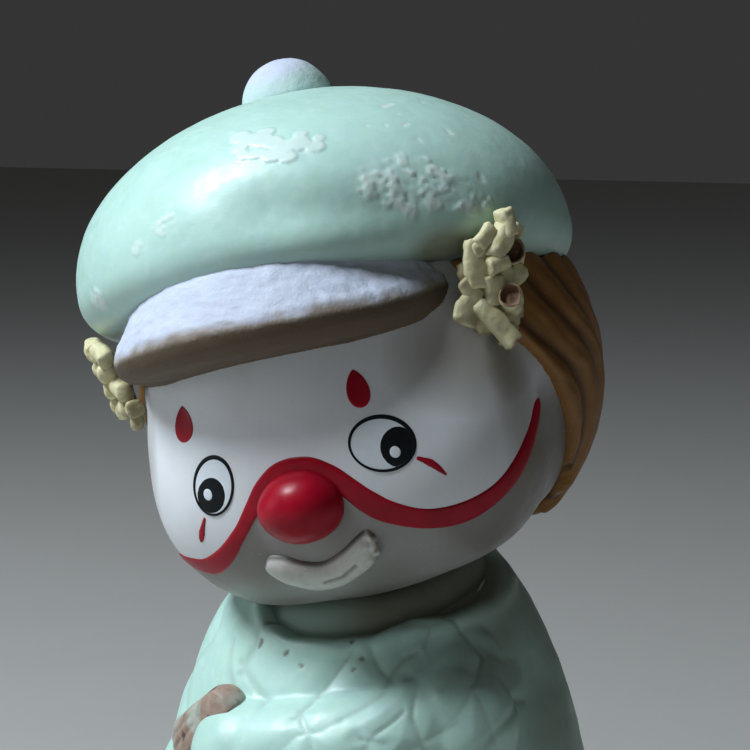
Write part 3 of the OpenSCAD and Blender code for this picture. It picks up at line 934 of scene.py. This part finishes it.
# The quilting that goes on round the rest of the body: its seams' slope, their step and the gap between them.
QUILT_SLOPE, QUILT_STEP, QUILT_GAP = 0.62, 8.5, 7.2

DOME_AT = np.array([0, 0, BODY_WIDE_Z])
DOME_SIZE = np.array([BODY_R, BODY_R, BODY_TOP_Z - BODY_WIDE_Z])


def dome_normal(p):
    """Outward directions of the body's dome at these points."""
    n = (p - DOME_AT) / DOME_SIZE**2
    return n / np.linalg.norm(n, axis=1)[:, None]


def neck():
    """Mesh of the neck under the chin, a soft roll that the seat of the head rests on."""
    count, around, thick, depth = 240, 28, 3.1, 4.3
    a = np.radians(np.linspace(-180, 180, count, endpoint=False))
    outward = np.stack([np.sin(a), -np.cos(a), 0 * a], 1)

    def on_dome(z):
        wide = BODY_R * np.sqrt(np.maximum(1 - ((z - BODY_WIDE_Z) / DOME_SIZE[2]) ** 2, 0))
        return outward * wide[:, None] + np.outer(z, [0, 0, 1])

    def below_head(z):
        return head_field(to_head(on_dome(z))) > 0

    lowest, highest = 38.0, 56.0
    seat = on_dome(last(below_head, np.full(count, lowest), np.full(count, highest)))
    slope = dome_normal(seat)
    across = np.cross(slope, np.cross(outward, [0, 0, 1]))
    turn = np.linspace(0, 2 * np.pi, around, endpoint=False)[None, :, None]
    circle = np.cos(turn) * slope[:, None] + np.sin(turn) * across[:, None]
    roll = ((seat - depth * slope)[:, None] + thick * circle).reshape(-1, 3)
    bumps = 0.16 * noise(roll, 4.0, 83) + 0.07 * noise(roll, 1.2, 84)
    roll = roll + bumps[:, None] * np.repeat(slope, around, 0)
    mesh = to_mesh(roll, tube_faces(count, around, closed=True))
    # The roll under the chin is painted in shade, darker towards the figure's left.
    paint(mesh, worn=0.0, stain=0.45 + 0.55 * step(0, 34, azimuth(roll)), bare=0.0)
    return mesh


def body():
    """The torso and sleeves in one quilted skin, with the hollow under the chin and the neck in it."""
    sleeves = ["sleeve_left", "sleeve_right"]
    mesh = remeshed(["torso", *sleeves], voxel=0.3, rounds=9, swell=0.16, swollen=sleeves)
    v = coords(mesh)
    az, z = azimuth(v), v[:, 2]
    rho = np.hypot(v[:, 0], v[:, 1])
    outside = step(-0.1, 0.4, (normals(mesh)[:, :2] * v[:, :2]).sum(1) / np.maximum(rho, 1e-6))
    along = np.radians(az) * BODY_NOMINAL

    def away_from(path):
        return near(along, z, [(math.radians(m) * BODY_NOMINAL, k) for m, k in path])

    seam, pillow = np.zeros(len(v)), np.zeros(len(v))
    for paths, strength in ((SEAMS, 1.0), (FAINT_SEAMS, 0.5)):
        for path in paths:
            far = away_from(path)
            seam = np.maximum(seam, strength * ridge(far, 0.18))
            pillow = np.maximum(pillow, ridge(far, 1.1))
    seam *= 0.55 + 0.45 * step(-0.4, 0.3, noise(v, 2.5, 73))
    unseen = (1 - step(-48, -40, az) * step(150, 135, az) * step(27, 31, z)) * step(3, 5, z)
    for slant in (-1, 1):
        t = (QUILT_SLOPE * along + slant * z) / QUILT_STEP + 0.16 * noise(v, 11, 86 + slant)
        far = np.abs(t - np.round(t)) * QUILT_GAP
        broken = step(-0.55, 0.1, noise(v, 6, 89 + slant))
        seam = np.maximum(seam, 0.6 * unseen * broken * ridge(far, 0.2))
        pillow = np.maximum(pillow, unseen * ridge(far, 1.3))
    fold = np.maximum.reduce([ridge(away_from(path), 0.5) for path in FOLDS])

    dent, ragged = np.zeros(len(v)), 0.5 * noise(v, 0.7, 74)
    for (m, k), size in DENTS:
        far = np.hypot((along - math.radians(m) * BODY_NOMINAL) * 1.3, z - k) / (0.85 * size)
        dent = np.maximum(dent, step(1.1, 0.7, far + ragged))

    above_rim = z - np.interp(az, *np.array(RIM).T)
    ahead = step(-44, -34, az) * step(128, 108, az)
    hollow = step(-0.3, 1.0, above_rim) * ahead * step(9.0, 11.0, rho)
    lip = ridge(above_rim + 0.75, 0.8) * ahead
    chips = step(0.82, 0.88, noise(v, 1.1, 76)) * step(0.1, 0.4, noise(v, 8, 77))
    lumps = 0.16 * noise(v, 6, 78) + 0.07 * noise(v, 2.4, 75) + 0.012 * noise(v, 0.8, 79)
    height = lumps - 0.15 * seam - 0.24 * pillow - 0.2 * fold - 0.12 * dent - 0.05 * chips + 0.40 * lip
    v = shift(mesh, v, outside * height, -dome_normal(v) * (2.1 * hollow)[:, None])

    # Darker colour: painted shade along the seams and folds and on the side away from the key light, real
    # stains
    # at the elbow, and darker towards the bottom of the foot.
    foot_dirt = 0.3 * step(2.5, 0.0, z)
    at_elbow = step(58, 70, az) * step(88, 76, az) * (z > 30) * (z < 44)
    elbow_dirt = 0.35 * at_elbow * step(0.25, 0.6, noise(v, 4, 82))
    at_side = step(52, 82, az) * step(140, 110, az) * step(18, 34, z)
    side_dirt = 0.55 * at_side * step(-0.7, 0.4, noise(v, 7, 85))
    dirt = 0.38 * seam + 0.22 * fold + foot_dirt + elbow_dirt + side_dirt
    # The hollow under the chin is painted in shade, darker towards the figure's left.
    under_chin = step(-0.3, 0.9, above_rim) * ahead * (0.45 + 0.55 * step(0, 34, az))
    paint(mesh, worn=clamp(0.8 * chips + 0.25 * lip * (noise(v, 1.2, 80) > 0.2)) * outside,
          stain=clamp(dirt * outside + under_chin), bare=dent * outside)

    roll = neck()
    bm = bmesh.new()
    bm.from_mesh(mesh)
    bm.from_mesh(roll)
    bm.to_mesh(mesh)
    bm.free()
    bpy.data.meshes.remove(roll)
    place("body_skin", mesh, mint, ["torso", *sleeves])


# ---------- limbs and air line ----------

SIDES = {"left": 1, "right": -1}    # sign of x on each side of the figure
SHOE_X = 11.4                       # distance of each shoe from the middle
LACE_Z = 15                         # height of the lace's groove over the middle of the shoe
HAND_R = 21.4                       # radius round the body beyond which the hands are flattened
FINGER_GAPS = (-1.05, 0.0, 1.05)    # gaps between the fingers, across the hand


def leg(side):
    mesh = remeshed([f"leg_{side}"], voxel=0.4, rounds=6)
    v = coords(mesh)
    fold = np.sin((v[:, 1] + 0.8 * noise(v, 5, 91)) * 1.15) * step(-20, -30, v[:, 1])
    v = shift(mesh, v, step(0.3, 1.2, v[:, 2]) * (0.22 * fold + 0.10 * noise(v, 4, 92)))
    paint(mesh, worn=0.6 * step(0.8, 0.86, noise(v, 1.2, 93)), stain=0.4 * step(2, 0.2, v[:, 2]), bare=0.0)
    place(f"leg_{side}_skin", mesh, mint, [f"leg_{side}"])


def shoe(side):
    """A shoe with a groove over its sole and another where it is laced."""
    mesh = remeshed([f"shoe_{side}"], voxel=0.36, rounds=5)
    v = coords(mesh)
    front, rear = v[:, 1].min(), v[:, 1].max()
    sole = front + 0.33 * (rear - front)
    tilted = v[:, 1] - 0.21 * (v[:, 2] - 10)
    welt = ridge(tilted - sole, 0.42)
    bow = v[:, 2] - LACE_Z + 0.6 * np.abs(v[:, 0] - SIDES[side] * SHOE_X)
    lace = ridge(bow, 0.4) * step(sole + 1.5, sole + 3, tilted)
    shift(mesh, v, step(0.3, 1.2, v[:, 2]) * (0.08 * noise(v, 3, 94) - 0.38 * welt - 0.25 * lace))
    # The welt and lace grooves are darkened as painted shade, and the shoe is darker in front of the welt.
    paint(mesh, valley=clamp(welt + lace + 0.35 * step(sole, sole - 0.8, tilted)))
    place(f"shoe_{side}_skin", mesh, caramel, [f"shoe_{side}"])


def hand(side):
    """A hand pressed flat against the body, with shallow gaps between the fingers."""
    mesh = remeshed([f"hand_{side}"], voxel=0.2, rounds=4, swell=0.08)
    v = coords(mesh)
    rho = np.hypot(v[:, 0], v[:, 1])
    pressed = np.where(rho > HAND_R, HAND_R + (rho - HAND_R) * 0.32, rho) / rho
    v = v * np.stack([pressed, pressed, np.ones(len(v))], 1)
    axes = np.linalg.svd(v - v.mean(0), full_matrices=False)[2]
    p = (v - v.mean(0)) @ axes.T
    fingers = step(-0.6, 0.6, -SIDES[side] * np.sign(axes[0, 0]) * p[:, 0])
    gaps = np.maximum.reduce([ridge(p[:, 1] - b, 0.22) for b in FINGER_GAPS])
    v = shift(mesh, v, 0.08 * noise(v, 1.6, 95) + 0.03 * noise(v, 0.5, 96) - 0.16 * gaps * fingers)
    paint(mesh, painted=0.8 * step(0.25, 0.75, noise(v, 3.2, 98)), pit=step(0.62, 0.7, noise(v, 0.9, 99)))
    place(f"hand_{side}_skin", mesh, worn_clay, [f"hand_{side}"])


def diffuser_stone():
    mesh = remeshed(["diffuser_stone"], voxel=0.3, rounds=2)
    v = coords(mesh)
    shift(mesh, v, 0.10 * noise(v, 0.9, 96) - 0.14 * step(0.35, 0.6, noise(v, 0.7, 97)))
    place("diffuser_stone_skin", mesh, stone, ["diffuser_stone"], "air_line")


def dress(node, mat):
    """Gives a CAD node that is kept as it is a material and bevelled edges."""
    obj = NODES[node]
    for slot in obj.material_slots:
        slot.material = mat
    bevel = obj.modifiers.new("edges", "BEVEL")
    bevel.width, bevel.segments, bevel.limit_method = 0.15 * MM, 2, "ANGLE"


head()
face_marks()
nose()
lips()
hair()
crown()
visor()
pompom()
curls("curls_left", 1, BITS_LEFT, BED_LEFT)
curls("curls_right", -1, BITS_RIGHT, BED_RIGHT)
body()
for side in SIDES:
    leg(side)
    shoe(side)
    hand(side)
diffuser_stone()
dress("base_disc", tan)
dress("grommet", rubber)
dress("air_elbow", clear)
dress("inner_hose", silicone)
dress("stone_nipple", blue)

# ---------- floor, camera and light ----------

CAM_AZ, CAM_EL, CAM_FAR = 30.0, 6.0, 300.0
CAM_RIGHT, CAM_UP = 0.7, 1.0        # how far the camera is moved off the head's centre
SENSOR, LENS = 36, 144


def add_floor():
    bm = bmesh.new()
    bmesh.ops.create_grid(bm, x_segments=2, y_segments=2, size=2.0)
    mesh = bpy.data.meshes.new("floor")
    bm.to_mesh(mesh)
    bm.free()
    floor = bpy.data.objects.new("floor", mesh)
    bpy.context.scene.collection.objects.link(floor)
    mesh.materials.append(material("pale_floor", (0.50, 0.49, 0.47), roughness=0.8,
                                   layers=[(30.0, 0.4, 0.7, (0.48, 0.47, 0.45), 0.5)]))
    floor.location.z = -0.05 * MM


az, el = math.radians(CAM_AZ), math.radians(CAM_EL)
BACK = np.array([math.sin(az) * math.cos(el), -math.cos(az) * math.cos(el), math.sin(el)])
RIGHT = np.array([math.cos(az), math.sin(az), 0.0])
ABOVE = np.cross(BACK, RIGHT)


def add_camera():
    eye = HEAD_AT + BACK * CAM_FAR + RIGHT * CAM_RIGHT + ABOVE * CAM_UP
    data = bpy.data.cameras.new("camera")
    data.sensor_width, data.lens, data.clip_start, data.clip_end = SENSOR, LENS, 0.01, 20
    camera = bpy.data.objects.new("camera", data)
    bpy.context.scene.collection.objects.link(camera)
    rows = [[RIGHT[i], ABOVE[i], BACK[i], eye[i] * MM] for i in range(3)]
    camera.matrix_world = Matrix(rows + [[0, 0, 0, 1]])
    bpy.context.scene.camera = camera


def lamp(name, toward, far, size, power, tint):
    """Soft light that shines at the head from a direction given as right, up and towards the camera. Its
    distance and size are in metres and its power in watts."""
    d = toward[0] * RIGHT + toward[1] * ABOVE + toward[2] * BACK
    d = d / np.linalg.norm(d)
    data = bpy.data.lights.new(name, "AREA")
    data.shape, data.size, data.energy, data.color = "DISK", size, power, tint
    obj = bpy.data.objects.new(name, data)
    bpy.context.scene.collection.objects.link(obj)
    below_centre = 8
    obj.location = (HEAD_AT - np.array([0, 0, below_centre])) * MM + d * far
    obj.rotation_euler = Vector(d).to_track_quat("Z", "Y").to_euler()


def add_world():
    world = bpy.data.worlds.new("studio")
    world.use_nodes = True
    background = world.node_tree.nodes["Background"]
    background.inputs["Color"].default_value = (0.70, 0.70, 0.70, 1)
    background.inputs["Strength"].default_value = 0.05
    bpy.context.scene.world = world


add_floor()
add_camera()
lamp("key", (-0.58, 0.77, 0.27), 0.55, 0.20, 3.9, (0.84, 0.93, 1.0))
lamp("side", (-1.0, 0.15, 0.0), 0.6, 0.25, 0.3, (0.86, 0.93, 1.0))
lamp("fill", (0.1, 0.2, 1.0), 0.9, 0.6, 0.09, (1.0, 0.96, 0.90))
add_world()
bpy.context.scene.view_settings.view_transform = "Standard"

bpy.context.view_layer.update()
